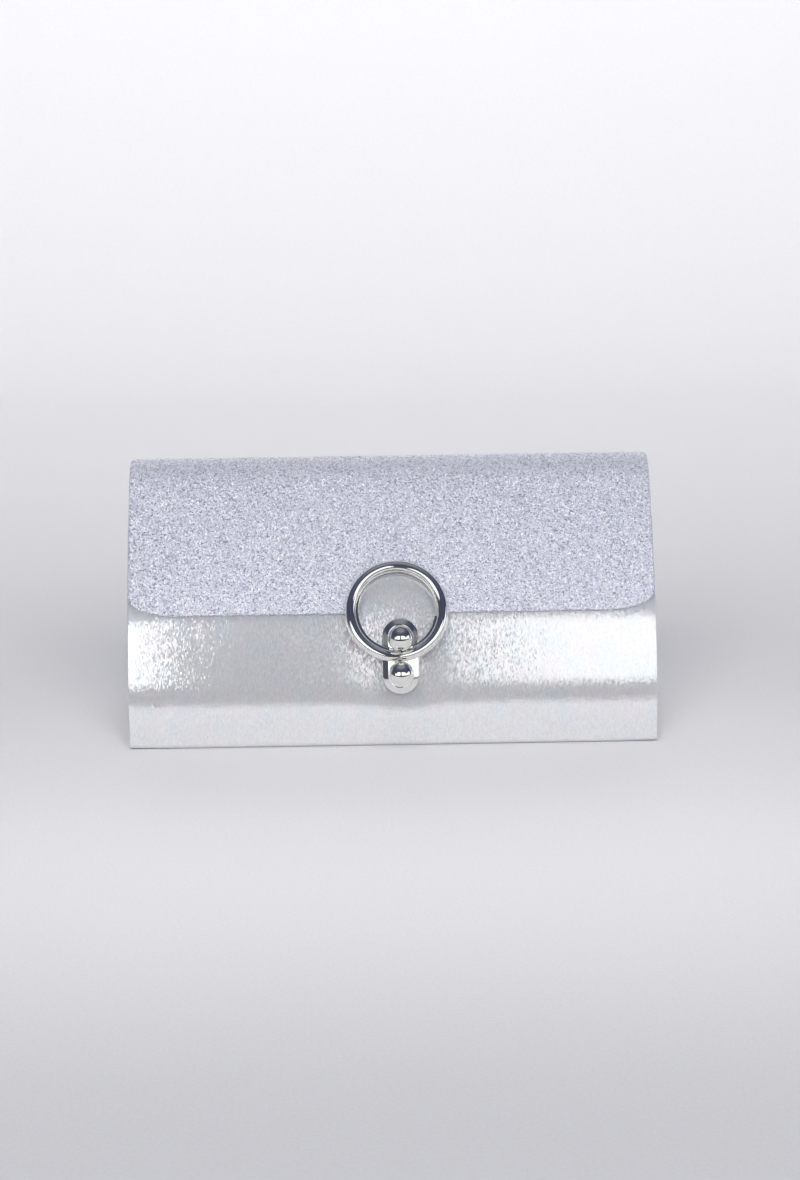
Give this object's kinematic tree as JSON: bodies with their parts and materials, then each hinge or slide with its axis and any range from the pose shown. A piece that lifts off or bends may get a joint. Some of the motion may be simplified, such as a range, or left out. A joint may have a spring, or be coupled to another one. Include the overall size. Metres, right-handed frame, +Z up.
{
  "type": "evening bag",
  "caption": "Hard-shell silver evening bag with a curved glitter flap over a metallic body, closed by a round ring that snaps between ball studs on a capsule plate.",
  "frame": {"origin": "middle of the flat underside of the base", "axes": "+X along the bag, -Y out of the front with the clasp, +Z up towards the crown"},
  "size_m": [0.21, 0.0723, 0.1076],
  "materials": {
    "board": "grey bookbinding board, under the covers",
    "silver_leatherette": "smooth metallic silver",
    "glitter_cloth": "fine silver glitter",
    "foam": "thin sponge",
    "lining_cloth": "silver grey satin",
    "polished_metal": "mirror plated zinc casting",
    "plain_steel": "plain"
  },
  "bodies": {
    "body": {"base_board": "board", "back_board": "board", "front_board": "board", "right_end_board": "board", "left_end_board": "board", "front_cover": "silver_leatherette", "base_cover": "silver_leatherette", "right_end_cover": "silver_leatherette", "left_end_cover": "silver_leatherette", "back_cover": "glitter_cloth", "front_lining": "lining_cloth", "back_lining": "lining_cloth", "base_lining": "lining_cloth", "right_end_lining": "lining_cloth", "left_end_lining": "lining_cloth", "slip_pocket": "lining_cloth", "right_ring_tab": "lining_cloth", "left_ring_tab": "lining_cloth", "front_padding": "foam", "stud_plate": "polished_metal", "stud_housing": "plain_steel", "upper_stud_spring": "plain_steel", "lower_stud_spring": "plain_steel"},
    "flap": {"flap_board": "board", "flap_cover": "glitter_cloth", "flap_lining": "lining_cloth", "clasp_ring": "polished_metal", "ring_back_plate": "plain_steel", "ring_screws": "plain_steel"},
    "upper_ball": {"upper_stud": "polished_metal"},
    "lower_ball": {"lower_stud": "polished_metal"},
    "right_ring": {"right_d_ring": "polished_metal"},
    "left_ring": {"left_d_ring": "polished_metal"}
  },
  "joints": [
    {"name": "flap_fold", "type": "hinge", "parent": "body", "child": "flap", "pos_m": [0, 0.02954, 0.09961], "axis": [-1, 0, 0], "range_deg": [0, 170]},
    {"name": "upper_ball_spring", "type": "slide", "parent": "body", "child": "upper_ball", "axis": [0, 0.2745, 0.9616], "range_m": [0, 0.00385], "stiffness_N_per_m": 1500, "springref_m": -0.002, "deforming": ["upper_stud_spring"]},
    {"name": "lower_ball_spring", "type": "slide", "parent": "body", "child": "lower_ball", "axis": [0, -0.2745, -0.9616], "range_m": [0, 0.00385], "stiffness_N_per_m": 1500, "springref_m": -0.002, "deforming": ["lower_stud_spring"]},
    {"name": "right_ring_swing", "type": "hinge", "parent": "body", "child": "right_ring", "pos_m": [0.0929, 0.02476, 0.08493], "axis": [-1, 0, 0], "range_deg": [0, 150]},
    {"name": "left_ring_swing", "type": "hinge", "parent": "body", "child": "left_ring", "pos_m": [-0.0929, 0.02476, 0.08493], "axis": [-1, 0, 0], "range_deg": [0, 150]}
  ]
}
